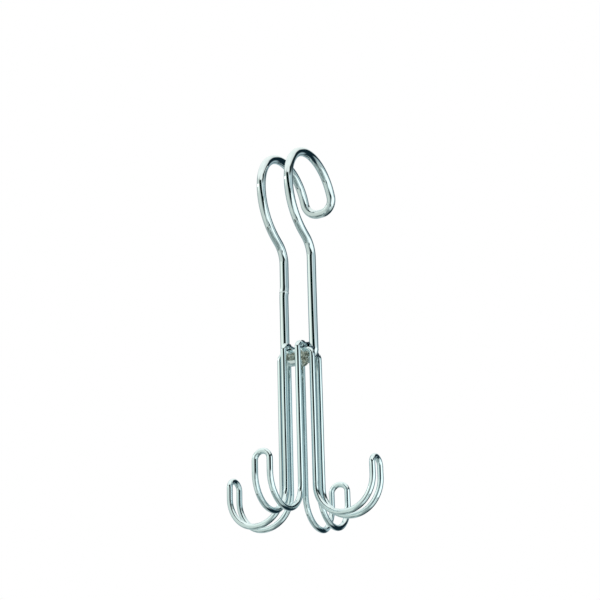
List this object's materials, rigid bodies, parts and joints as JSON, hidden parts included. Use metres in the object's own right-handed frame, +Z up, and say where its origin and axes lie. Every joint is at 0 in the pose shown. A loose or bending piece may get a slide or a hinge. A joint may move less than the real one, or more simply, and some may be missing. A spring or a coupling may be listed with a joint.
{
  "type": "belt hanger",
  "caption": "Bright chromed wire hanger whose upper loop hooks over a closet rod, with crossed hairpin hooks below it that hold belts by their buckles.",
  "frame": {"origin": "where the hanging loop rests on the rod: the underside of its crown, midway between its strands", "axes": "+X along the rod, +Y to the back, where the hanging loop is open, +Z up"},
  "size_m": [0.1062, 0.101, 0.257],
  "materials": {
    "chrome_wire": "mirror-bright plating",
    "chrome_weld": "plated weld metal, slightly rough"
  },
  "bodies": {
    "root": {"hanging_loop": "chrome_wire", "cross_hook_loop": "chrome_wire", "side_hook_loop": "chrome_wire", "weld_bead_front": "chrome_weld", "weld_bead_back": "chrome_weld"}
  },
  "joints": []
}
